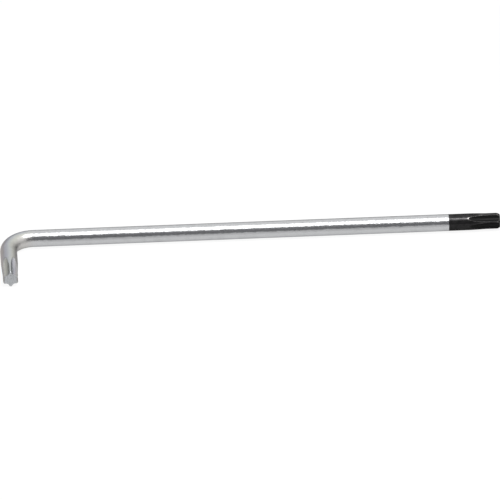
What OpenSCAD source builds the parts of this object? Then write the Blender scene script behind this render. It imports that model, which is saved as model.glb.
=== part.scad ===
// Star key: one bent steel bar with a six-lobed drive pressed into both ends.
// The key lies flat. The long arm runs along +X, the short arm points to -Y,
// and both rest on z = 0. The origin is under the middle of the key's outer box.

/* [Bar] */
// Diameter of the plated round bar
bar_d = 5.6; // [5.6:0.05:8]
// Overall length of the long arm, from the outside of the short arm
long_arm_l = 165.5; // [90:0.5:300]
// Overall length of the short arm, from the outside of the long arm
short_arm_l = 29.5; // [24:0.5:60]
// Radius of the bend along the middle of the bar
bend_r = 8.4; // [5:0.1:13]
// Thickness of the chrome plating, which the black tip goes without
plating_t = 0.03; // [0.01:0.005:0.05]

/* [Star drive] */
// Width of the mating socket across its points
socket_points_d = 5.6; // [5.3:0.01:5.6]
// Width of the mating socket across its flutes
socket_flutes_d = 3.99; // [3.9:0.01:4.1]
// Radius at the points of the mating socket
socket_point_r = 0.45; // [0.38:0.01:0.55]
// Play between the drive and its socket on each side
drive_play = 0.04; // [0.02:0.01:0.08]
// What the ground outside takes off the round crest of each lobe
crest_trim = 0.015; // [0.01:0.005:0.04]
// How far ahead of the full star the bar has narrowed to the star's width
narrow_lead = 0.5; // [0.2:0.1:1.5]

/* [Long star tip] */
// Length of the black zone
long_tip_l = 17; // [13.5:0.5:40]
// Length of the full star, chamfer included
long_star_l = 4.2; // [3:0.1:9]
// Length over which the flutes run out of the round bar
long_runout_l = 6.3; // [4:0.1:8]
// Length over which the bar narrows to the width of the star
long_taper_l = 7; // [5:0.1:9]
// Depth of the end chamfer across the bar
long_chamfer_depth = 0.55; // [0.2:0.05:0.7]
// Length of the end chamfer along the bar
long_chamfer_l = 1; // [0.3:0.05:1.5]
// Turn of the star about the bar, from a lobe straight up
long_star_turn = 10; // [-30:1:30]

/* [Short star tip] */
// Length of the star tip, up to the plain round arm
short_tip_l = 12.5; // [12.3:0.1:14]
// Length of the full star, chamfer included
short_star_l = 4; // [3:0.1:5.4]
// Length over which the flutes run out of the round bar
short_runout_l = 6.2; // [4:0.1:8]
// Length over which the bar narrows to the width of the star
short_taper_l = 7; // [5:0.1:8]
// Depth of the end chamfer across the bar
short_chamfer_depth = 0.35; // [0.2:0.05:0.7]
// Length of the end chamfer along the bar
short_chamfer_l = 0.35; // [0.3:0.05:1.5]
// Turn of the star about the bar, from a lobe straight up
short_star_turn = 0; // [-30:1:30]

/* [Hidden] */

// Plain words for the two finishes
chrome_colour = [0.75, 0.76, 0.78];
black_colour = [0.09, 0.09, 0.1];

// How far a cutting shape reaches past what it cuts
overrun = 0.5;
// Number of flutes, and half the angle that one flute takes up
flute_count = 6;
flute_half_angle = 180 / flute_count;
// How far past its neighbour's side each flute's outline opens outside the crest
outside_angle = 8;

// Where the middle lines of the two arms cross, and how high they lie
corner_x = (bar_d - long_arm_l) / 2;
corner_y = (short_arm_l - bar_d) / 2;
axis_z = bar_d / 2;
long_end_x = long_arm_l / 2;
short_end_y = -short_arm_l / 2;

// The drive's own outline: the socket's outline moved inwards by the play.
// The lobes are whole arcs here, and the crest of each is trimmed by the outside of the tip.
star_points_r = socket_points_d / 2 - drive_play;
star_flutes_r = socket_flutes_d / 2 - drive_play;
star_outside_r = star_points_r - crest_trim;
lobe_r = socket_point_r - drive_play;
lobe_centre_r = star_points_r - lobe_r;
// Flute radius that makes each flute tangent to the lobes beside it
tangent_term = sqrt(3) * lobe_centre_r;
flute_r = (lobe_r * lobe_r - lobe_centre_r * lobe_centre_r
           - star_flutes_r * star_flutes_r + tangent_term * star_flutes_r)
          / (2 * star_flutes_r - tangent_term - 2 * lobe_r);
flute_centre_r = star_flutes_r + flute_r;

// A point at a distance and an angle from the middle of the bar
function polar(r, angle) = [r * cos(angle), r * sin(angle)];
// The point that parts two others in the ratio of a to b
function between(p, q, a, b) = (p * b + q * a) / (a + b);

// Cross-section of what one flute takes out of the bar. The flute faces +X.
// Its sides are the lobes' own arcs, so that two neighbours leave a round lobe standing,
// and past the crest of the lobe two neighbours overlap.
module flute_section() {
  lobe_centre = polar(lobe_centre_r, flute_half_angle);
  tangent_point = between(lobe_centre, [flute_centre_r, 0], lobe_r, flute_r);
  lobe_crest = polar(star_points_r, flute_half_angle);
  outside = polar(bar_d, flute_half_angle + outside_angle);
  upper = [tangent_point, lobe_crest, outside];
  lower = [for (i = [len(upper) - 1:-1:0]) [upper[i][0], -upper[i][1]]];
  difference() {
    union() {
      polygon(concat(upper, lower));
      translate([flute_centre_r, 0]) circle(flute_r, $fn = 64);
    }
    for (side = [-1, 1]) {
      translate([lobe_centre[0], side * lobe_centre[1]]) circle(lobe_r, $fn = 48);
    }
  }
}

// One flute: straight along the full star, then swept up an arc until it leaves the bar
module flute(full_z, star_l, runout_l) {
  depth = bar_d / 2 - star_flutes_r;
  sweep_r = (runout_l * runout_l + depth * depth) / (2 * depth);
  sweep_angle = acos(1 - (depth + overrun) / sweep_r);
  sweep_axis_r = star_flutes_r + sweep_r;
  translate([0, 0, full_z]) linear_extrude(star_l + overrun) flute_section();
  translate([sweep_axis_r, 0, full_z]) rotate([-90, 0, 180])
    rotate_extrude(angle = sweep_angle, $fn = 180)
      translate([sweep_axis_r, 0]) mirror([1, 0]) flute_section();
}

// A star tip that stands on z = 0 and points to +Z, with one lobe towards +X
module star_tip(round_d, tip_l, star_l, runout_l, taper_l, chamfer_depth, chamfer_l) {
  full_z = tip_l - star_l;
  difference() {
    rotate_extrude($fn = 96) polygon([
      [0, 0],
      [round_d / 2, 0],
      [round_d / 2, full_z - taper_l],
      [star_outside_r, full_z - narrow_lead],
      [star_outside_r, tip_l - chamfer_l],
      [star_outside_r - chamfer_depth, tip_l],
      [0, tip_l]
    ]);
    for (i = [0:flute_count - 1]) {
      rotate((2 * i + 1) * flute_half_angle) flute(full_z, star_l, runout_l);
    }
  }
}

// Black end of the long arm
module long_star_tip() {
  color(black_colour)
    translate([long_end_x - long_tip_l, corner_y, axis_z])
      rotate([0, 90, 0]) rotate(long_star_turn)
        star_tip(bar_d - 2 * plating_t, long_tip_l, long_star_l, long_runout_l, long_taper_l,
                 long_chamfer_depth, long_chamfer_l);
}

// Straight chromed bar from the bend to the black end
module long_arm() {
  start_x = corner_x + bend_r;
  color(chrome_colour)
    translate([start_x, corner_y, axis_z])
      rotate([0, 90, 0]) cylinder(h = long_end_x - long_tip_l - start_x, d = bar_d, $fn = 96);
}

// Quarter-circle bend that joins the two arms
module bend() {
  color(chrome_colour)
    translate([corner_x + bend_r, corner_y - bend_r, axis_z])
      rotate(90) rotate_extrude(angle = 90, $fn = 192)
        translate([bend_r, 0]) circle(d = bar_d, $fn = 96);
}

// Straight chromed bar from the bend to the short star tip
module short_arm() {
  start_y = corner_y - bend_r;
  color(chrome_colour)
    translate([corner_x, start_y, axis_z])
      rotate([90, 0, 0]) cylinder(h = start_y - short_end_y - short_tip_l, d = bar_d, $fn = 96);
}

// Chromed end of the short arm
module short_star_tip() {
  color(chrome_colour)
    translate([corner_x, short_end_y + short_tip_l, axis_z])
      rotate([90, 0, 0]) rotate(flute_half_angle + short_star_turn)
        star_tip(bar_d, short_tip_l, short_star_l, short_runout_l, short_taper_l,
                 short_chamfer_depth, short_chamfer_l);
}

long_star_tip();
long_arm();
bend();
short_arm();
short_star_tip();
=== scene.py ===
# %% [markdown]
# # A star key, dressed for its picture
#
# A star key is one bent steel bar. Both of its ends are pressed to a star with six lobes, which turns
# screws that have a star socket. The long end is burnished black, and the rest is satin chrome.
#
# The CAD model is loaded first and stays as it is. Everything made below lies in the same frame: the
# key is flat on z = 0, its long arm runs along +X and its short arm points to -Y.

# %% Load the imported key
import math
from collections import namedtuple

import bpy
import numpy as np
from mathutils import Matrix, Vector


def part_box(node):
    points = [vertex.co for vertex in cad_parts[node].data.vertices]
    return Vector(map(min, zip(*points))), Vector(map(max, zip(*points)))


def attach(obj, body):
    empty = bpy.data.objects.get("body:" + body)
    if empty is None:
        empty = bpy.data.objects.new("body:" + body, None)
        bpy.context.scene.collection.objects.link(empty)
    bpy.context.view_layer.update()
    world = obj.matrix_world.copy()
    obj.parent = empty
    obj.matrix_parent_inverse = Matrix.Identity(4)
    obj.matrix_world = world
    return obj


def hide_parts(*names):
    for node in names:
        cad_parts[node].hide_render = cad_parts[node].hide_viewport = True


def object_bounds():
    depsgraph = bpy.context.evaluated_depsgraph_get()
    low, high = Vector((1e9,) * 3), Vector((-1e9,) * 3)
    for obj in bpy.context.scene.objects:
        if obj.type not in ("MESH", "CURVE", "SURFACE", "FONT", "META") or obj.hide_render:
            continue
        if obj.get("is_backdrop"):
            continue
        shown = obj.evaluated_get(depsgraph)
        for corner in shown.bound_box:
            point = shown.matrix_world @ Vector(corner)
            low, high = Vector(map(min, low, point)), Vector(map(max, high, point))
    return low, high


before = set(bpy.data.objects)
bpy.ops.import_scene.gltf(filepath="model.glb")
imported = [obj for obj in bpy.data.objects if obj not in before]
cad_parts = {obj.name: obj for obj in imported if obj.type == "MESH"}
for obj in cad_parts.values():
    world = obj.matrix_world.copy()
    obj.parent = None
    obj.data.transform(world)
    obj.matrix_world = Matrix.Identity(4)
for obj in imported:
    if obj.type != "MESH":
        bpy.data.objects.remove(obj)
cad_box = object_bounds()
print("CAD pieces:", sorted(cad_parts))

# %% [markdown]
# ## The bar's sizes
#
# The thickness of the bar and the places where its form or finish changes are read from the boxes of
# the CAD pieces. They could be typed in again, but then the dressed key could drift from the CAD.
# The key's lengths are kept in millimetres, as a toolmaker writes them, and become metres when a mesh
# is made.

# %% Read the bar from the CAD pieces
MM = 0.001
BOX_DECIMALS = 2


def box_mm(node):
    """Lowest and highest corner of a CAD piece, to a hundredth of a millimetre."""
    return [[round(value / MM, BOX_DECIMALS) for value in corner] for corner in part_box(node)]


long_low, long_high = box_mm("long_arm")
short_low, short_high = box_mm("short_arm")
black_low, black_high = box_mm("long_star_tip")
short_tip_low = box_mm("short_star_tip")[0]

BAR_R = (long_high[2] - long_low[2]) / 2
BLACK_R = (black_high[2] - black_low[2]) / 2
AXIS_Z = (long_high[2] + long_low[2]) / 2
LONG_AXIS_Y = (long_high[1] + long_low[1]) / 2
SHORT_AXIS_X = (short_high[0] + short_low[0]) / 2
BEND_R = long_low[0] - SHORT_AXIS_X
print(f"bar {2 * BAR_R:.2f} mm thick, black round part {2 * BLACK_R:.2f} mm, bend radius {BEND_R:.2f} mm")

# %% [markdown]
# ## Distances along the bar
#
# Every place on the key is given by its distance from the black end, measured along the middle line
# of the bar, and by its place in the round cross-section there. The bar could be modelled straight
# and bent by a Curve modifier, but a bend of one true radius is simpler to work out than to adjust.

# %% Measure along the middle line
QUARTER_TURN = math.pi / 2
BLACK_L = black_high[0] - long_high[0]
BEND_START = black_high[0] - long_low[0]
BEND_END = BEND_START + BEND_R * QUARTER_TURN
SHORT_TIP_START = BEND_END + short_high[1] - short_low[1]
SHORT_TIP_L = short_low[1] - short_tip_low[1]
BAR_L = SHORT_TIP_START + SHORT_TIP_L
print(f"the bar is {BAR_L:.2f} mm long before it is bent")


def on_bar(distance, up, side):
    """Places in the key's frame, in mm, of points up and sideways from the middle line."""
    turn = min(max((distance - BEND_START) / BEND_R, 0), QUARTER_TURN)
    before = min(distance, BEND_START)
    after = max(distance - BEND_END, 0)
    out = BEND_R + side
    x = black_high[0] - before - math.sin(turn) * out
    y = LONG_AXIS_Y - BEND_R - after + math.cos(turn) * out
    z = AXIS_Z + up
    return np.stack(np.broadcast_arrays(x, y, z), axis=-1)


# %% [markdown]
# ## The star
#
# A star key fits a socket of a standard size, here number 30. The drive has the socket's outline
# with a little play, and that outline is twelve arcs: six small ones at the lobes and six large ones
# between them, each tangent to the next. Two widths and the lobe's radius fix the rest.

# %% Work out the outline of the star
LOBES = 6
SOCKET_POINTS_D = 5.6
SOCKET_FLUTES_D = 3.99
SOCKET_LOBE_R = 0.45
DRIVE_PLAY = 0.04
CREST_TRIM = 0.015

HALF_LOBE_TURN = math.pi / LOBES
STAR_R = SOCKET_POINTS_D / 2 - DRIVE_PLAY
FLUTE_FLOOR_R = SOCKET_FLUTES_D / 2 - DRIVE_PLAY
LOBE_R = SOCKET_LOBE_R - DRIVE_PLAY
LOBE_CENTRE_R = STAR_R - LOBE_R
OUTSIDE_R = STAR_R - CREST_TRIM
tangent_term = 2 * math.cos(HALF_LOBE_TURN) * LOBE_CENTRE_R
FLUTE_R = (
    LOBE_R**2 - LOBE_CENTRE_R**2 - FLUTE_FLOOR_R**2 + tangent_term * FLUTE_FLOOR_R
) / (2 * FLUTE_FLOOR_R - tangent_term - 2 * LOBE_R)
FLUTE_CENTRE_R = FLUTE_FLOOR_R + FLUTE_R
print(f"flute arcs of {FLUTE_R:.3f} mm between lobe arcs of {LOBE_R:.3f} mm")


def star_radius(turn):
    """Radius of the star's outline at an angle from the middle of a flute."""
    centre = np.array([math.cos(HALF_LOBE_TURN), math.sin(HALF_LOBE_TURN)]) * LOBE_CENTRE_R
    reach = LOBE_R / (LOBE_R + FLUTE_R)
    tangent = centre + (np.array([FLUTE_CENTRE_R, 0]) - centre) * reach
    tangent_turn = math.atan2(tangent[1], tangent[0])
    across = LOBE_CENTRE_R * np.sin(HALF_LOBE_TURN - turn)
    lobe = LOBE_CENTRE_R * np.cos(HALF_LOBE_TURN - turn) + np.sqrt(np.maximum(LOBE_R**2 - across**2, 0))
    beside = FLUTE_CENTRE_R * np.sin(turn)
    flute = FLUTE_CENTRE_R * np.cos(turn) - np.sqrt(np.maximum(FLUTE_R**2 - beside**2, 0))
    return np.where(turn > tangent_turn, lobe, flute)


# %% [markdown]
# ## The two tips
#
# Both tips have the same star, but they are ground and used differently. Each has a table of its own
# lengths in mm, with the turn of its top lobe and three rows for the marks on its ridges and end. The
# ridges are the edges of the lobes, and their marks are given at some distances from the end and run
# evenly between those. On the black tip the marks are bare steel, partly wear where screws rub it and
# partly painted highlight where a flute leaves the bar. On the chrome tip they are painted shade where
# a flute leaves the bar. Wear at the end face fades out along the chamfer and is gone soon after it. A
# power of 1 in the last row keeps the ridge marks to the side that faces up and to the front, towards
# the lamps, as painted highlight, and 0 lets them go all round.

# %% Describe the two tips
LONG_TIP = {
    "length": BLACK_L,
    "round_r": BLACK_R,
    "star_l": 4.2,
    "runout_l": 6.3,
    "taper_l": 7.0,
    "chamfer_depth": 0.55,
    "chamfer_l": 1.0,
    "top_lobe_turn": math.radians(-10),
    "ridge_wear_and_edge_shading": ((0, 0.85), (5.0, 0.85), (7.5, 0.42), (9.6, 0.42), (10.5, 0.6)),
    "end_wear": 0.05,
    "lit_side_power": 1,
}
SHORT_TIP = {
    "length": SHORT_TIP_L,
    "round_r": BAR_R,
    "star_l": 4.0,
    "runout_l": 6.2,
    "taper_l": 7.0,
    "chamfer_depth": 0.35,
    "chamfer_l": 0.35,
    "top_lobe_turn": 0.0,
    "ridge_wear_and_edge_shading": ((6.2, 0), (10.2, 1)),
    "end_wear": 0.3,
    "lit_side_power": 0,
}
for title, tip in (("long", LONG_TIP), ("short", SHORT_TIP)):
    fluted_l = tip["star_l"] + tip["runout_l"]
    print(f"the {title} tip is {tip['length']:.1f} mm long and fluted over {fluted_l:.1f} mm")

# %% [markdown]
# ## Where a flute leaves the bar
#
# Past the full star, each flute climbs out of the round bar along an arc, because the tool that
# presses it has a round shoulder. A boolean cut would give that shape with ragged triangles along its
# edge. Here each point of a fine grid finds its own radius instead: the arc carries the point back
# to the star's outline, and halving steps find where it lies exactly on that outline.

# %% Find the radius of a flute by halving steps
HALVINGS = 36
BEYOND_BAR = 1.1


def flute_radius(turn, into_runout, runout_l):
    """Radius at which a flute cuts the bar, or a radius beyond the bar where it doesn't."""
    depth = BAR_R - FLUTE_FLOOR_R
    sweep_r = (runout_l**2 + depth**2) / (2 * depth)
    sweep_axis_r = FLUTE_FLOOR_R + sweep_r
    low = np.full_like(turn, FLUTE_FLOOR_R / 2)
    high = np.full_like(turn, BAR_R * BEYOND_BAR)
    for _ in range(HALVINGS):
        middle = (low + high) / 2
        across = middle * np.sin(turn)
        to_axis = np.hypot(sweep_axis_r - middle * np.cos(turn), into_runout)
        carried = sweep_axis_r - to_axis
        carried_turn = np.arctan2(across, carried)
        outline = star_radius(np.minimum(carried_turn, HALF_LOBE_TURN))
        cut = (np.hypot(carried, across) > outline) & (carried_turn <= HALF_LOBE_TURN)
        high = np.where(cut, middle, high)
        low = np.where(cut, low, middle)
    return high


for title, tip in (("long", LONG_TIP), ("short", SHORT_TIP)):
    halfway = flute_radius(np.zeros(1), np.full(1, tip["runout_l"] / 2), tip["runout_l"])[0]
    print(f"halfway up its run-out, a flute of the {title} tip is {BAR_R - halfway:.2f} mm deep")

# %% [markdown]
# ## The outside of a tip
#
# The tips are turned down a hair to the width of the star and chamfered at the end. A real edge is
# never sharp, and a rendered one only catches the light if it isn't either, so each corner is
# blended over about a tenth of a millimetre. Bevel modifiers could do that, but a blend of two radii
# works on the whole grid at once and can't fold over itself.

# %% Work out the outside of a tip
NARROW_LEAD = 0.5
EDGE_BLEND = 0.1


def soft_min(first, second, blend):
    """The smaller of two values, with the corner between them rounded off."""
    share = np.clip(0.5 + (second - first) / (2 * blend), 0, 1)
    return second + (first - second) * share - blend * share * (1 - share)


def outside_radius(tip, from_end):
    """Radius of the turned outside of a tip: round bar, slight taper, star's width, chamfer."""
    full_l = tip["star_l"] + NARROW_LEAD
    slope = (tip["round_r"] - OUTSIDE_R) / (tip["taper_l"] - NARROW_LEAD)
    tapered = np.clip(OUTSIDE_R + slope * (from_end - full_l), OUTSIDE_R, tip["round_r"])
    chamfer = OUTSIDE_R - tip["chamfer_depth"] * (1 - from_end / tip["chamfer_l"])
    return soft_min(tapered, chamfer, EDGE_BLEND)


for title, tip in (("long", LONG_TIP), ("short", SHORT_TIP)):
    widths = [2 * outside_radius(tip, from_end) for from_end in (0, tip["star_l"], tip["length"])]
    print(f"the {title} tip is {widths[0]:.2f}, {widths[1]:.2f} and {widths[2]:.2f} mm wide, from its end")

# %% [markdown]
# ## Rings
#
# Each length of the key is a closed skin over a row of rings. A ring is a distance along the bar and,
# for each of its points, a radius, how worn the point is together with the light or shade painted on
# its ridges, and how far it is sunk into a flute. Rings lie close together where the flutes run out
# and at the end, and far apart where the bar is plain.

# %% Place the rings of a star tip
AROUND = 432
RING_TURNS = np.arange(AROUND) * 2 * math.pi / AROUND
END_EDGE_R = 0.07
END_EDGE_RINGS = 4
CHAMFER_STEP = 0.08
STAR_STEP = 0.3
RUNOUT_STEP = 0.09
PAST_RUNOUT = 0.4
PLAIN_STEP = 0.5

Ring = namedtuple("Ring", ["distance", "radius", "wear", "sunk"])


def spaced(start, stop, step):
    """Distances from start up to just before stop, about a step apart."""
    count = max(1, round((stop - start) / step))
    return start + (stop - start) * np.arange(count) / count


def tip_distances(tip):
    """Distances from the end at which a tip has a ring."""
    edge_turns = spaced(0, QUARTER_TURN, QUARTER_TURN / END_EDGE_RINGS)
    fine_end = 2 * tip["chamfer_l"]
    runout_start = tip["star_l"]
    runout_end = runout_start + tip["runout_l"] + PAST_RUNOUT
    return np.concatenate([
        END_EDGE_R * (1 - np.cos(edge_turns)),
        spaced(END_EDGE_R, fine_end, CHAMFER_STEP),
        spaced(fine_end, runout_start, STAR_STEP),
        spaced(runout_start, runout_end, RUNOUT_STEP),
        spaced(runout_end, tip["length"], PLAIN_STEP),
        [tip["length"]],
    ])


print(f"rings: {len(tip_distances(LONG_TIP))} on the long tip, {len(tip_distances(SHORT_TIP))} on the short")

# %% [markdown]
# ## Radius, wear and painted ridge shading of each ring
#
# At each point the tip is as wide as the turned outside or the flute allows, whichever is less. Where
# the two are nearly level lies a ridge, and that is where a screw rubs the finish off. The same ridge
# mark also carries painted light and shade: highlight on the black tip and shade on the chrome one.
# Painting these marks by hand would work as well, but worked out this way they stay on the ridges if
# a size changes.

# %% Make the rings of a star tip
FLUTE_BLEND = 0.06
RIDGE_REACH = 0.08
RIDGE_OUTWARD = 0.08
LIT_SIDE_TURN = math.radians(-25)
END_WEAR_REACH = 1.5
SUNK_DEPTH = 0.12


def tip_wear_and_edge_shading(tip, from_end, outside, flute):
    """How worn each point of a ring is, and how much light or shade is painted on its ridges, from 0 to 1.
    """
    ridge = np.exp(-(((flute - outside - RIDGE_OUTWARD) / RIDGE_REACH) ** 2))
    ridge_wear_and_edge_shading = np.interp(from_end, *zip(*tip["ridge_wear_and_edge_shading"]))
    # Painted highlight: the ridge marks are kept to the side that faces up and to the front, towards the
    # lamps.
    lit_side_share = np.clip(np.cos(RING_TURNS - LIT_SIDE_TURN), 0, 1) ** tip["lit_side_power"]
    end_wear = np.clip(END_WEAR_REACH - from_end / tip["chamfer_l"], 0, 1) * tip["end_wear"]
    return np.maximum(ridge * ridge_wear_and_edge_shading * lit_side_share, end_wear)


def tip_rings(tip):
    """The rings of a star tip, from its end face to where the plain bar begins."""
    from_lobe = np.mod(RING_TURNS - tip["top_lobe_turn"], 2 * HALF_LOBE_TURN)
    turn = np.abs(from_lobe - HALF_LOBE_TURN)
    rings = []
    for from_end in tip_distances(tip):
        into_runout = np.full(AROUND, max(0.0, from_end - tip["star_l"]))
        outside = outside_radius(tip, from_end)
        flute = flute_radius(turn, into_runout, tip["runout_l"])
        missing = max(0.0, END_EDGE_R - from_end)
        rounded_off = END_EDGE_R - math.sqrt(END_EDGE_R**2 - missing**2)
        radius = soft_min(flute, outside, FLUTE_BLEND) - rounded_off
        sunk = np.clip((outside - flute) / SUNK_DEPTH, 0, 1)
        rings.append(Ring(from_end, radius, tip_wear_and_edge_shading(tip, from_end, outside, flute), sunk))
    return rings


long_tip_rings = tip_rings(LONG_TIP)
short_tip_rings = tip_rings(SHORT_TIP)
for title, rings in (("long", long_tip_rings), ("short", short_tip_rings)):
    # The mean counts the painted light and shade on the ridges along with the wear.
    wear_and_shading_share = np.mean([ring.wear for ring in rings])
    print(f"the points of the {title} tip are worn by {wear_and_shading_share:.3f} on average")

# %% [markdown]
# ## From rings to a closed skin
#
# The rings are joined by faces, and both ends are closed by smaller rings and a middle point, so
# that each length is a solid in its own right. The faces could be bridged by an operator in edit
# mode, but counting points off ring by ring gives the same faces each time.

# %% Join rings by faces
CAP_SHARES = (0.3, 0.6, 0.85)


def shrunk(ring):
    """Smaller copies of a ring, which lie on the flat end that it surrounds."""
    return [ring._replace(radius=ring.radius * share) for share in CAP_SHARES]


def closed_rings(rings):
    """The same rings with the two flat ends added."""
    return [*shrunk(rings[0]), *rings, *reversed(shrunk(rings[-1]))]


def skin_faces(ring_count):
    """Faces over a row of rings, with a fan of triangles at each of the two middle points."""
    here = np.arange(AROUND)
    after = (here + 1) % AROUND
    last_point = ring_count * AROUND + 1
    faces = [(0, 1 + b, 1 + a) for a, b in zip(here, after)]
    for ring in range(ring_count - 1):
        low = 1 + ring * AROUND
        high = low + AROUND
        faces += [(low + a, low + b, high + b, high + a) for a, b in zip(here, after)]
    high = 1 + (ring_count - 1) * AROUND
    faces += [(high + a, high + b, last_point) for a, b in zip(here, after)]
    return faces


END_FACES = AROUND * (len(CAP_SHARES) + 1)
print(f"{END_FACES} faces close each end of a length")

# %% [markdown]
# ## Facts kept at the points
#
# Three facts are kept at every point of a skin, for the finishes to read: its place on the bar as if
# the bar were still straight, its wear together with the light or shade painted on its ridges, and how
# far it is sunk. Grain that is looked up by the first one follows the bar round the bend, as drawn
# steel's does. A second set of texture coordinates could hold the place too, but a vector attribute
# holds all three of its parts in millimetres.

# %% Keep facts at the points
def keep_facts(mesh, straight, wear, sunk):
    """Keeps the three facts at the points of a mesh."""
    along = mesh.attributes.new("straight_place", "FLOAT_VECTOR", "POINT")
    along.data.foreach_set("vector", np.concatenate(straight).astype(np.float32).ravel())
    for fact, values in (("wear", wear), ("sunk", sunk)):
        kept = mesh.attributes.new(fact, "FLOAT", "POINT")
        kept.data.foreach_set("value", np.concatenate(values).astype(np.float32))


# %% [markdown]
# ## The skin
#
# A skin is shaded smooth, because the bar is round, and only turns sharper than a set angle stay
# sharp. The volume inside it is measured as well: it would be negative if the faces pointed inwards,
# and it can be held against the volume of the CAD piece.

# %% Skin the rings
SHARP_TURN = math.radians(40)


def enclosed_mm3(mesh):
    """Volume inside a closed mesh, which is negative where its faces point inwards."""
    mesh.calc_loop_triangles()
    corners = [[mesh.vertices[index].co / MM for index in face.vertices] for face in mesh.loop_triangles]
    return sum(first.dot(second.cross(third)) for first, second, third in corners) / 6


def skin(name, rings):
    """One closed length of the key, as a Blender object."""
    rings = closed_rings(rings)
    first, last = [
        Ring(end.distance, np.zeros(1), end.wear[:1], end.sunk[:1]) for end in (rings[0], rings[-1])
    ]
    rows = [first, *rings, last]
    places, straight = [], []
    for row in rows:
        up = row.radius * np.cos(RING_TURNS[:len(row.radius)])
        side = row.radius * np.sin(RING_TURNS[:len(row.radius)])
        places.append(on_bar(row.distance, up, side))
        straight.append(np.stack([np.full_like(up, row.distance), up, side], axis=-1))
    points = np.concatenate(places) * MM
    mesh = bpy.data.meshes.new(name)
    mesh.from_pydata(points.tolist(), [], skin_faces(len(rings)))
    mesh.polygons.foreach_set("use_smooth", [True] * len(mesh.polygons))
    mesh.set_sharp_from_angle(angle=SHARP_TURN)
    keep_facts(mesh, straight, [row.wear for row in rows], [row.sunk for row in rows])
    mesh.validate()
    print(f"{name} encloses {enclosed_mm3(mesh):.1f} cubic mm")
    piece = bpy.data.objects.new(name, mesh)
    bpy.context.scene.collection.objects.link(piece)
    return piece


# %% [markdown]
# ## The five lengths
#
# The real key is one bar. It is dressed in the five lengths that the CAD has, which meet face to
# face: the black tip, the long arm, the bend, the short arm and the short tip. The straight lengths
# need few rings, and the bend has many, because each ring is a corner in its outline.

# %% Make the five lengths
LONG_ARM_STEPS = 24
BEND_STEPS = 96
SHORT_ARM_STEPS = 4
NOTHING = np.zeros(AROUND)
BAR_RING = np.full(AROUND, BAR_R)


def plain_rings(start, stop, steps):
    """Evenly spaced rings of the round bar."""
    return [Ring(distance, BAR_RING, NOTHING, NOTHING) for distance in np.linspace(start, stop, steps + 1)]


long_tip = skin("black_star_tip", long_tip_rings)
long_arm = skin("chromed_long_arm", plain_rings(BLACK_L, BEND_START, LONG_ARM_STEPS))
bend = skin("chromed_bend", plain_rings(BEND_START, BEND_END, BEND_STEPS))
short_arm = skin("chromed_short_arm", plain_rings(BEND_END, SHORT_TIP_START, SHORT_ARM_STEPS))
short_tip = skin(
    "chromed_star_tip",
    [ring._replace(distance=BAR_L - ring.distance) for ring in reversed(short_tip_rings)],
)

# %% [markdown]
# ## Tying the skins to the CAD
#
# Each skin stands for its CAD piece and rides on the key's one body. The table also lists the finish
# that the CAD gives each piece, but nothing reads it. Parenting the skins by hand would place them
# too, but then nothing would say which CAD piece each of them hides.

# %% Say what each length stands for
STANDS_FOR = {
    "long_star_tip": (long_tip, "black_tip"),
    "long_arm": (long_arm, "satin_chrome"),
    "bend": (bend, "satin_chrome"),
    "short_arm": (short_arm, "satin_chrome"),
    "short_star_tip": (short_tip, "satin_chrome"),
}
for node, (piece, slot) in STANDS_FOR.items():
    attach(piece, "root")
    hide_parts(node)
    print(f"{piece.name} stands for {node}: {len(piece.data.polygons)} faces")

# %% [markdown]
# ## Writing materials as sums
#
# A material is a tree of nodes. Trees drawn by hand are hard to read back as text, so here a value in
# the tree is held by a small class, and Python's own signs add the Math nodes. The reflected signs
# are there too, so that a plain number may stand first, as in 1 - wear.


# %% Make a class for values
class Value:
    """A value on its way through a node tree."""

    def __init__(self, tree, socket):
        self.tree = tree
        self.socket = socket

    def maths(self, operation, first, second):
        """One Math node on two values, either of which may be a plain number."""
        return self.tree.node("ShaderNodeMath", {"operation": operation}, {0: first, 1: second})

    def __add__(self, other):
        return self.maths("ADD", self, other)

    def __sub__(self, other):
        return self.maths("SUBTRACT", self, other)

    def __rsub__(self, other):
        return self.maths("SUBTRACT", other, self)

    def __mul__(self, other):
        return self.maths("MULTIPLY", self, other)

    __radd__ = __add__
    __rmul__ = __mul__


# %% [markdown]
# ## Any other node
#
# Every node that isn't made by a sign comes from one method, which takes the node's type, its
# settings, and what goes into its sockets. The settings go first, because some of them change which
# sockets a node has. A helper for each type would be shorter to call, but there would be many.


# %% Make a class for node trees
class Tree:
    """The node tree of a material or of the world."""

    def __init__(self, owner):
        owner.use_nodes = True
        self.owner = owner
        self.nodes = owner.node_tree.nodes
        self.links = owner.node_tree.links
        self.nodes.clear()

    def node(self, kind, settings=None, inputs=None, output=0):
        """Adds a node of a type, sets its settings and its sockets, and gives one output."""
        made = self.nodes.new(kind)
        for name, setting in (settings or {}).items():
            if name == "stops":
                self.set_stops(made.color_ramp, setting)
            else:
                setattr(made, name, setting)
        for name, given in (inputs or {}).items():
            if isinstance(given, Value):
                self.links.new(given.socket, made.inputs[name])
            else:
                made.inputs[name].default_value = given
        return Value(self, made.outputs[output]) if made.outputs else None

    def set_stops(self, ramp, stops):
        """Gives a colour ramp its stops, each a place from 0 to 1 and a colour."""
        while len(ramp.elements) < len(stops):
            ramp.elements.new(1.0)
        for element, (place, colour) in zip(ramp.elements, stops):
            element.position = place
            element.color = (*colour, 1)


# %% [markdown]
# ## Patterns that the finishes share
#
# Grain, stains and scratches are all noise of one size or another, read at the point's place on the
# straightened bar. That place is in millimetres, so a scale of 2 gives specks of half a millimetre.
# Pictures of real metal could be laid on instead, but they repeat, and they blur when seen close.


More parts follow.
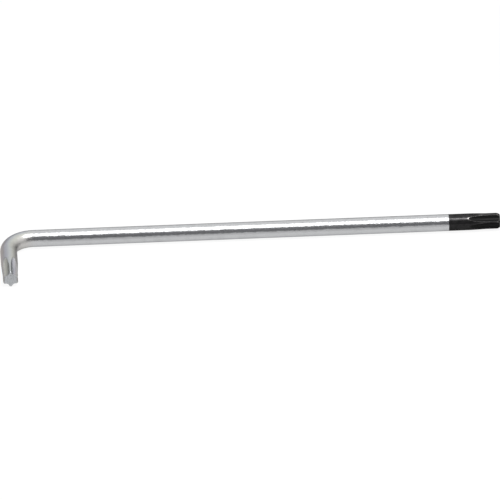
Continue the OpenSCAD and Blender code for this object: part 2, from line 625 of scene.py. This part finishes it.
# %% Define the shared patterns
def bar_place(tree, stretch=(1, 1, 1)):
    """The place on the straightened bar in mm, squeezed along some of its axes."""
    place = tree.node("ShaderNodeAttribute", {"attribute_name": "straight_place"}, output="Vector")
    return tree.node("ShaderNodeVectorMath", {"operation": "MULTIPLY"}, {0: place, 1: stretch})


def kept_fact(tree, fact):
    """The wear and painted ridge shading of a point, or how far it is sunk, from 0 to 1."""
    return tree.node("ShaderNodeAttribute", {"attribute_name": fact}, output="Fac")


def noise(tree, place, per_mm, detail=2.0, roughness=0.5):
    """Noise from 0 to 1 with a given number of specks in a millimetre."""
    inputs = {"Vector": place, "Scale": per_mm, "Detail": detail, "Roughness": roughness}
    return tree.node("ShaderNodeTexNoise", {"noise_dimensions": "3D"}, inputs)


def fade(tree, value, start, stop):
    """0 below start and 1 above stop, with a smooth step between them."""
    inputs = {"Value": value, "From Min": start, "From Max": stop}
    return tree.node("ShaderNodeMapRange", {"interpolation_type": "SMOOTHSTEP"}, inputs)


# %% [markdown]
# ## Colour, relief and the shader
#
# Colours are blended by a Mix node, because a Math node would turn them grey. Relief that is too fine
# for the mesh is given as bump, in millimetres of depth. Each finish then ends in one Principled
# shader, which covers metal and paint alike and survives an export.


# %% Define colour, relief and the shader
def mix_colours(tree, share, first, second):
    """The first colour where share is 0, and the second where it is 1."""
    colours = {"data_type": "RGBA"}
    return tree.node("ShaderNodeMix", colours, {0: share, 6: first, 7: second}, output=2)


def bump(tree, height, depth_mm, below=None):
    """Normals of a surface whose height varies by a depth in mm."""
    inputs = {"Height": height, "Distance": depth_mm * MM}
    if below is not None:
        inputs["Normal"] = below
    return tree.node("ShaderNodeBump", None, inputs)


def finish(tree, inputs):
    """Closes a material with a Principled shader."""
    shader = tree.node("ShaderNodeBsdfPrincipled", None, inputs)
    tree.node("ShaderNodeOutputMaterial", None, {"Surface": shader})
    return tree.owner


# %% [markdown]
# ## The colour of the plating
#
# Chrome is a bright grey metal, and handling leaves it with slightly duller stains. On the bend and
# the short end, the plating shows a faint play of colour, as a thin film does. Across the bar, from
# the inside of the bend outwards, it is a warm grey, yellow, pale green, lilac and copper, and in the
# flutes it runs the other way, because their walls face the other way. A colour ramp holds those
# tints, and the place across the bar looks them up. A true thin film would need the angle of view,
# which an exported picture of the colour can't hold.

# %% Colour the plating
CHROME = (0.505, 0.51, 0.52, 1)
CHROME_STAINED = (0.44, 0.445, 0.45, 1)
CHROME_WORN_AND_SHADED = (0.31, 0.31, 0.32, 1)
STAIN_SHARE = 0.6
BEND_TINTS = [
    (0.05, (0.515, 0.50, 0.48)),
    (0.28, (0.51, 0.51, 0.46)),
    (0.50, (0.48, 0.505, 0.507)),
    (0.68, (0.488, 0.493, 0.55)),
    (0.95, (0.55, 0.503, 0.47)),
]
TINT_SHARE = 0.8
TINT_MIDDLE = 0.35
TINT_ACROSS = 0.5
TINT_DRIFT = 0.3
DRIFTS_PER_MM = 0.3
PAINTED_FLUTE_SHADE_SCALE = 0.75
PAINTED_FLUTE_SHADE_SHARE = 0.7


def plating_colour(tree, stains, on_bend):
    """Grey chrome with stains, tinted on the bend and past it, and painted darker in the flutes as shade."""
    place = bar_place(tree)
    sunk = kept_fact(tree, "sunk")
    outwards = tree.node("ShaderNodeSeparateXYZ", None, {0: place}, output="Z")
    across = outwards * (1 - sunk * 2) * (TINT_ACROSS / BAR_R)
    drift = noise(tree, place, DRIFTS_PER_MM, detail=1.0) * TINT_DRIFT
    stop = TINT_MIDDLE + across + drift
    tints = tree.node("ShaderNodeValToRGB", {"stops": BEND_TINTS}, {"Fac": stop})
    base = mix_colours(tree, stains * STAIN_SHARE, CHROME, CHROME_STAINED)
    colour = mix_colours(tree, on_bend * TINT_SHARE, base, tints)
    # Painted shade: the chrome is made darker in the flutes.
    painted_flute_shade = tree.node("ShaderNodeVectorMath", {"operation": "SCALE"}, {0: colour, "Scale": PAINTED_FLUTE_SHADE_SCALE})
    colour = mix_colours(tree, sunk * PAINTED_FLUTE_SHADE_SHARE, colour, painted_flute_shade)
    # Darker where the ridge mark is set: wear at the end face, and painted shade where the short tip's
    # flutes leave the bar.
    return mix_colours(tree, kept_fact(tree, "wear"), colour, CHROME_WORN_AND_SHADED)


print(f"the bend has {len(BEND_TINTS)} tints, and {TINT_SHARE:.0%} of its colour comes from them")

# %% [markdown]
# ## Satin chrome
#
# The bar is drawn, tumbled and then plated. Chrome itself is smooth, but the steel below keeps its
# grain, so that a lamp's reflection has ragged edges instead of clean ones. Roughness alone would
# blur them evenly. Three layers of bump break them up: long waves and coarse pits for the tumbled
# steel, and a fine grain for the plating. The specular tint keeps the rim of the bar from turning
# white, as metals do where one looks along them.

# %% Make the satin chrome
CHROME_AT_EDGES = (0.48, 0.48, 0.49, 1)
WAVES_PER_MM = 0.7
WAVE_STRETCH = (1, 0.6, 0.6)
WAVE_DEPTH = 0.10
PITS_PER_MM = 2.0
PIT_STRETCH = (1, 0.7, 0.7)
PIT_DEPTH = 0.06
GRAIN_PER_MM = 6.0
GRAIN_DEPTH = 0.004
STAINS_PER_MM = 0.35
STAIN_EDGES = (0.45, 0.75)
BEND_TINT_FROM = BEND_START - 2
BEND_TINT_FULL = BEND_START + 5
PLATING_ROUGHNESS = 0.18
STAIN_ROUGHNESS = 0.06
GRAIN_ROUGHNESS = 0.06
BEND_ROUGHNESS = 0.13


def satin_chrome():
    """Plated bar: grainy, softly reflecting, with a tint on the bend and past it."""
    tree = Tree(bpy.data.materials.new("satin_chrome"))
    place = bar_place(tree)
    waves = noise(tree, bar_place(tree, WAVE_STRETCH), WAVES_PER_MM, detail=1.0)
    pits = noise(tree, bar_place(tree, PIT_STRETCH), PITS_PER_MM, detail=3.0, roughness=0.6)
    grain = noise(tree, place, GRAIN_PER_MM)
    stains = fade(tree, noise(tree, place, STAINS_PER_MM, detail=4.0, roughness=0.6), *STAIN_EDGES)
    along = tree.node("ShaderNodeSeparateXYZ", None, {0: place}, output="X")
    on_bend = fade(tree, along, BEND_TINT_FROM, BEND_TINT_FULL)
    steel = bump(tree, pits, PIT_DEPTH, below=bump(tree, waves, WAVE_DEPTH))
    roughness = PLATING_ROUGHNESS + stains * STAIN_ROUGHNESS + grain * GRAIN_ROUGHNESS
    return finish(tree, {
        "Base Color": plating_colour(tree, stains, on_bend),
        "Metallic": 1.0,
        "Roughness": roughness + on_bend * BEND_ROUGHNESS,
        "Specular Tint": CHROME_AT_EDGES,
        "Normal": bump(tree, grain, GRAIN_DEPTH, below=steel),
    })


chrome = satin_chrome()
print(f"{chrome.name} is built from {len(chrome.node_tree.nodes)} nodes")

# %% [markdown]
# ## The cut end
#
# The short tip's end face was cut off square and plated as it was. The cut leaves fine parallel
# scratches and a few dark pits, and it is duller than the rest. It gets a material of its own on the
# faces of the end alone. Noise that is squeezed along one axis gives the scratches.

# %% Make the cut end's finish
CUT_STEEL = (0.527, 0.545, 0.56, 1)
CUT_SCRATCHED = (0.39, 0.40, 0.413, 1)
CUT_PIT_GREY = (0.25, 0.25, 0.255, 1)
SCRATCHES_PER_MM = 1.0
SCRATCH_STRETCH = (1, 0.6, 9)
SCRATCH_EDGES = (0.3, 0.7)
CUT_PITS_PER_MM = 1.6
CUT_PIT_EDGES = (0.55, 0.80)
CUT_DEPTH = 0.02
CUT_ROUGHNESS = 0.42
SCRATCH_ROUGHNESS = 0.15


def cut_end():
    """Dull plated end face with scratches and pits."""
    tree = Tree(bpy.data.materials.new("cut_end"))
    scratches = noise(tree, bar_place(tree, SCRATCH_STRETCH), SCRATCHES_PER_MM, detail=3.0, roughness=0.7)
    pits = fade(tree, noise(tree, bar_place(tree), CUT_PITS_PER_MM, detail=3.0), *CUT_PIT_EDGES)
    shade = mix_colours(tree, fade(tree, scratches, *SCRATCH_EDGES), CUT_STEEL, CUT_SCRATCHED)
    return finish(tree, {
        "Base Color": mix_colours(tree, pits, shade, CUT_PIT_GREY),
        "Metallic": 1.0,
        "Roughness": CUT_ROUGHNESS + scratches * SCRATCH_ROUGHNESS,
        "Normal": bump(tree, scratches - pits, CUT_DEPTH),
    })


cut = cut_end()
print(f"{cut.name} is built from {len(cut.node_tree.nodes)} nodes")

# %% [markdown]
# ## Burnished black
#
# The black of the long tip is an oxide that is grown on the bare steel and rubbed with oil. It is so
# thin that it still reflects as dark metal does, so the material is about half metal and has none of
# the clear gloss that black paint would have. Bare steel is laid on the ridges of the star, partly as
# wear where every screw rubs them and partly as painted highlight, most of all on the side that faces
# up and to the front, towards the lamps, and where a flute leaves the bar. The flutes are painted a
# deeper black as painted shade, and are duller.

# %% Make the burnished black
OXIDE_BLACK = (0.028, 0.0275, 0.028, 1)
OXIDE_GREY = (0.046, 0.045, 0.046, 1)
PAINTED_SHADE_FLUTE_BLACK = (0.020, 0.020, 0.020, 1)
WORN_STEEL_AND_GLINT = (0.30, 0.29, 0.28, 1)
OXIDE_AT_EDGES = (0.48, 0.48, 0.48, 1)
OXIDE_METALLIC = 0.55
OXIDE_GRAIN_PER_MM = 4.0
OXIDE_GRAIN_DEPTH = 0.011
CLOUDS_PER_MM = 0.5
CLOUD_EDGES = (0.35, 0.7)
GRAIN_IN_WORN_AND_GLINTING = 0.15
WORN_AND_GLINTING_EDGES = (0.15, 1.25)
OXIDE_ROUGHNESS = 0.13
OXIDE_GRAIN_ROUGHNESS = 0.12
FLUTE_ROUGHNESS = 0.24


def burnished_black():
    """Black oxide with bare steel on its ridges as wear and painted highlight, and painted shade in the
    flutes.
    """
    tree = Tree(bpy.data.materials.new("burnished_black"))
    place = bar_place(tree)
    grain = noise(tree, place, OXIDE_GRAIN_PER_MM, detail=3.0, roughness=0.6)
    cloud = noise(tree, place, CLOUDS_PER_MM, detail=3.0)
    wear = kept_fact(tree, "wear")
    sunk = kept_fact(tree, "sunk")
    # Bare steel on the ridges: partly wear, partly painted highlight.
    worn_and_glinting = fade(tree, wear + grain * GRAIN_IN_WORN_AND_GLINTING, *WORN_AND_GLINTING_EDGES)
    oxide = mix_colours(tree, fade(tree, cloud, *CLOUD_EDGES), OXIDE_BLACK, OXIDE_GREY)
    # Painted shade: the flutes are made a deeper black.
    oxide = mix_colours(tree, sunk, oxide, PAINTED_SHADE_FLUTE_BLACK)
    return finish(tree, {
        "Base Color": mix_colours(tree, worn_and_glinting, oxide, WORN_STEEL_AND_GLINT),
        "Metallic": OXIDE_METALLIC + worn_and_glinting * (1 - OXIDE_METALLIC),
        "Roughness": OXIDE_ROUGHNESS + grain * OXIDE_GRAIN_ROUGHNESS + sunk * FLUTE_ROUGHNESS,
        "Specular IOR Level": 0.0,
        "Specular Tint": OXIDE_AT_EDGES,
        "Normal": bump(tree, (grain - 0.5) * (1 - wear), OXIDE_GRAIN_DEPTH),
    })


black = burnished_black()
print(f"{black.name} is built from {len(black.node_tree.nodes)} nodes")

# %% [markdown]
# ## Putting the finishes on
#
# A mesh can hold several materials, and each of its faces says by number which one it wears. Only the
# short tip needs two: its last faces, which close the end, wear the cut finish.

# %% Put the finishes on
for piece in (long_arm, bend, short_arm, short_tip):
    piece.data.materials.append(chrome)
long_tip.data.materials.append(black)
short_tip.data.materials.append(cut)

finish_numbers = np.zeros(len(short_tip.data.polygons), np.int32)
finish_numbers[-END_FACES:] = 1
short_tip.data.polygons.foreach_set("material_index", finish_numbers)
print(f"{END_FACES} of the {len(finish_numbers)} faces of {short_tip.name} wear the cut finish")

# %% [markdown]
# ## White that isn't light
#
# The photograph has a pure white ground. More lamp light would whiten the ground, but it would
# bleach the key as well. So the ground glows by itself, and the Light Path node keeps the glow from
# lighting anything: it tells the rays that look from the rays that gather light.

# %% Tell looking from lighting
def is_seen(tree):
    """1 where the camera looks, directly or by way of metal or glass, and 0 where light is gathered."""
    camera_ray, glossy_ray, transmission_ray = [
        tree.node("ShaderNodeLightPath", output=ray)
        for ray in ("Is Camera Ray", "Is Glossy Ray", "Is Transmission Ray")
    ]
    return fade(tree, camera_ray + glossy_ray + transmission_ray, 0, 1)


# %% [markdown]
# ## The table
#
# The key lies on a plain white table that runs far past the picture. Its paint alone would come out
# dark grey under these lamps, so most of its white is its own glow, which only the camera and
# the metal see. The rest is paint that the lamps light, and that part keeps the key's soft shadow.
# The sizes of the set are in metres.

# %% Lay the table
TABLE_HALF = 6.0
TABLE_PAINT = (0.14, 0.14, 0.14, 1)
TABLE_GLOW = 0.9


def square(name, ends, first_edge, second_edge):
    """A flat sheet of the set between two places in x, and two edges given by their y and z."""
    left, right = ends
    mesh = bpy.data.meshes.new(name)
    corners = [(left, *first_edge), (right, *first_edge), (right, *second_edge), (left, *second_edge)]
    mesh.from_pydata(corners, [], [(0, 1, 2, 3)])
    sheet = bpy.data.objects.new(name, mesh)
    bpy.context.scene.collection.objects.link(sheet)
    sheet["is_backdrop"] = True
    return sheet


def table_paint():
    """White that the lamps light, with a glow for the camera and the metal."""
    tree = Tree(bpy.data.materials.new("table_paint"))
    paint = tree.node("ShaderNodeBsdfDiffuse", None, {"Color": TABLE_PAINT})
    glow = tree.node("ShaderNodeEmission", None, {"Strength": is_seen(tree) * TABLE_GLOW})
    both = tree.node("ShaderNodeAddShader", None, {0: paint, 1: glow})
    tree.node("ShaderNodeOutputMaterial", None, {"Surface": both})
    return tree.owner


table = square("table", (-TABLE_HALF, TABLE_HALF), (-TABLE_HALF, 0), (TABLE_HALF, 0))
table.data.materials.append(table_paint())
print(f"{table.name}: {2 * TABLE_HALF:.0f} m on each side")

# %% [markdown]
# ## The lamps
#
# Polished metal shows its surroundings more than its own colour, so the set decides what it looks
# like. A wide soft lamp hangs over the key and makes the white stripe along the bar. A brighter strip
# hangs just below it, over the black end and past it, and gives the black tip its thin line of light.
# Lamps could be moved about until the stripes fit. It is quicker to place them by the angles at which
# the bar sees them, counted upwards from the table in front of the key, with 90 degrees overhead.
# Their power is given per square metre, so that a lamp looks as bright when its size is changed.

# %% Hang the lamps
LAMP_HEIGHT = 0.5
STRIP_DROP = 0.01
SOFT_LAMP_ANGLES = (math.radians(57), math.radians(95))
STRIP_ANGLES = (math.radians(72), math.radians(83))
SOFT_LAMP_X = (-0.137, 0.17)
STRIP_X = (0.075, 0.17)
SOFT_LAMP_WATTS_PER_M2 = 7.6
STRIP_WATTS_PER_M2 = 56.0
KEY_Y = LONG_AXIS_Y * MM


def hanging_lamp(name, angles, ends, watts_per_m2, height):
    """A flat lamp over the key, between two angles as the bar sees them."""
    front, back = [KEY_Y - height / math.tan(angle) for angle in angles]
    lamp = bpy.data.lights.new(name, "AREA")
    lamp.shape = "RECTANGLE"
    lamp.size = ends[1] - ends[0]
    lamp.size_y = back - front
    lamp.energy = watts_per_m2 * lamp.size * lamp.size_y
    hung = bpy.data.objects.new(name, lamp)
    hung.location = (sum(ends) / 2, (front + back) / 2, height)
    bpy.context.scene.collection.objects.link(hung)
    print(f"{name}: {lamp.size:.2f} by {lamp.size_y:.2f} m, {lamp.energy:.2f} W")


hanging_lamp("soft_lamp", SOFT_LAMP_ANGLES, SOFT_LAMP_X, SOFT_LAMP_WATTS_PER_M2, LAMP_HEIGHT)
hanging_lamp("strip_lamp", STRIP_ANGLES, STRIP_X, STRIP_WATTS_PER_M2, LAMP_HEIGHT - STRIP_DROP)

# %% [markdown]
# ## The dark card
#
# Below the white stripe the bar has a dark one. Photographers get it from a dark card beside the
# camera, which gives round metal its edge against white. The card stands in front of the key, and
# only reflections see it, so that it hides nothing and throws no shadow.

# %% Stand the dark card
CARD_DISTANCE = 0.45
CARD_ANGLES = (math.radians(0.6), math.radians(53))
CARD_X = (-0.65, 0.42)
CARD_GREY = (0.37, 0.37, 0.385, 1)


def for_reflections(sheet, grey):
    """Paints a sheet of the set a plain grey, and lets nothing but reflections see it."""
    tree = Tree(bpy.data.materials.new(f"{sheet.name}_paint"))
    sheet.data.materials.append(finish(tree, {"Base Color": grey, "Roughness": 1.0}))
    for ray in ("camera", "diffuse", "transmission", "shadow"):
        setattr(sheet, f"visible_{ray}", False)
    print(f"only reflections see {sheet.name}")


card_y = KEY_Y - CARD_DISTANCE
card_low, card_high = [CARD_DISTANCE * math.tan(angle) for angle in CARD_ANGLES]
card = square("dark_card", CARD_X, (card_y, card_high), (card_y, card_low))
for_reflections(card, CARD_GREY)

# %% [markdown]
# ## The grey sheet
#
# Under the dark stripe the bar turns pale step by step, and not at once. A grey sheet does that: it
# lies just over the table from a few millimetres in front of the key, and again only reflections see
# it, so that the metal sees white table near the key and grey further off. The sheet is painted
# shade: it stands for the shade that the dark card would cast on the table in front of the key. A
# table with two paints would do the same, but then the picture would show the grey one.

# %% Lay the grey sheet
SHEET_HEIGHT = 0.0002
SHEET_FROM_KEY = (0.008, 0.45)
SHEET_X = (-0.068, 0.3)
SHEET_GREY = (0.84, 0.84, 0.84, 1)

# Painted shade on the table, seen only in reflections.
sheet_back, sheet_front = [KEY_Y - reach for reach in SHEET_FROM_KEY]
sheet = square("grey_sheet", SHEET_X, (sheet_front, SHEET_HEIGHT), (sheet_back, SHEET_HEIGHT))
for_reflections(sheet, SHEET_GREY)

# %% [markdown]
# ## The room
#
# Past the lamps the metal sees a plain room with grey walls and a paler ceiling. It is a world whose
# grey depends on how high one looks. To the left it is darker, most of all overhead, because the
# bend and the short arm mirror that side and look darker than the long arm. The room also fills the
# shadows with soft light, but with only a share of the strength that the metal sees, because at full
# strength it would lighten the chrome and the black alike.

# %% Light the room
WALL_GREY = 0.42
CEILING_GREY = 1.1
CEILING_EDGES = (-0.1, 0.5)
RIGHT_GAIN = 1.08
LEFT_EDGES = (0, 0.2)
LEFT_LOSS = 0.20
OVERHEAD_LOSS = 0.32
OVERHEAD_EDGES = (0.6, 0.8)
FILL_SHARE = 0.55

room = Tree(bpy.data.worlds.new("room"))
bpy.context.scene.world = room.owner
towards = room.node("ShaderNodeTexCoord", output="Generated")
upwards = room.node("ShaderNodeSeparateXYZ", None, {0: towards}, output="Z")
leftwards = 0 - room.node("ShaderNodeSeparateXYZ", None, {0: towards}, output="X")
grey = WALL_GREY + fade(room, upwards, *CEILING_EDGES) * (CEILING_GREY - WALL_GREY)
loss = LEFT_LOSS + OVERHEAD_LOSS * fade(room, upwards, *OVERHEAD_EDGES)
grey = grey * (RIGHT_GAIN - loss * fade(room, leftwards, *LEFT_EDGES))
strength = FILL_SHARE + is_seen(room) * (1 - FILL_SHARE)
sky = room.node("ShaderNodeBackground", None, {"Color": grey, "Strength": strength})
room.node("ShaderNodeOutputWorld", None, {"Surface": sky})
bpy.context.scene.view_settings.view_transform = "Standard"
print(f"the room is built from {len(room.nodes)} nodes")

# %% [markdown]
# ## The camera
#
# The photograph was taken from far off with a long lens, a little to the left of the key's middle
# and about thirty degrees above the table. The camera is set by what can be measured in the picture,
# which is 500 by 500 pixels: how thick the bar looks, and where the middle of the long arm lies.

# %% Set the camera
PICTURE_PX = 500
BAR_PX = 16.97
LONG_ARM_MIDDLE_PX = (249.8, 230.15)
CAMERA_AZIMUTH = math.radians(2.93)
CAMERA_ELEVATION = math.radians(29.6)
CAMERA_ROLL = math.radians(0.76)
KEY_LENGTHS_AWAY = 20

camera_distance = KEY_LENGTHS_AWAY * (black_high[0] - short_low[0]) * MM
metre_per_px = 2 * BAR_R * MM / BAR_PX
camera_data = bpy.data.cameras.new("camera")
camera_data.lens = camera_data.sensor_width * camera_distance / (PICTURE_PX * metre_per_px)
camera_data.clip_end = 2 * camera_distance
turn = Matrix.Rotation(-CAMERA_AZIMUTH, 3, "Z")
tilt = Matrix.Rotation(QUARTER_TURN - CAMERA_ELEVATION, 3, "X")
roll = Matrix.Rotation(-CAMERA_ROLL, 3, "Z")
facing = turn @ tilt @ roll
middle_px = Vector((PICTURE_PX / 2, PICTURE_PX / 2))
off_middle = (middle_px - Vector(LONG_ARM_MIDDLE_PX)) * metre_per_px
aim = Vector((0, KEY_Y, AXIS_Z * MM)) + facing @ Vector((off_middle.x, -off_middle.y, 0))
camera = bpy.data.objects.new("camera", camera_data)
camera.matrix_world = Matrix.Translation(aim + facing @ Vector((0, 0, camera_distance))) @ facing.to_4x4()
bpy.context.scene.collection.objects.link(camera)
bpy.context.scene.camera = camera
print(f"camera {camera_distance:.2f} m away with a lens of {camera_data.lens:.0f} mm")

# %% Compare the boxes and finish
visual_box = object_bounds()
growth = max(abs(a - b) for low, high in zip(cad_box, visual_box) for a, b in zip(low, high))
print(f"the dressed key's box differs from the CAD's by at most {growth / MM:.3f} mm")
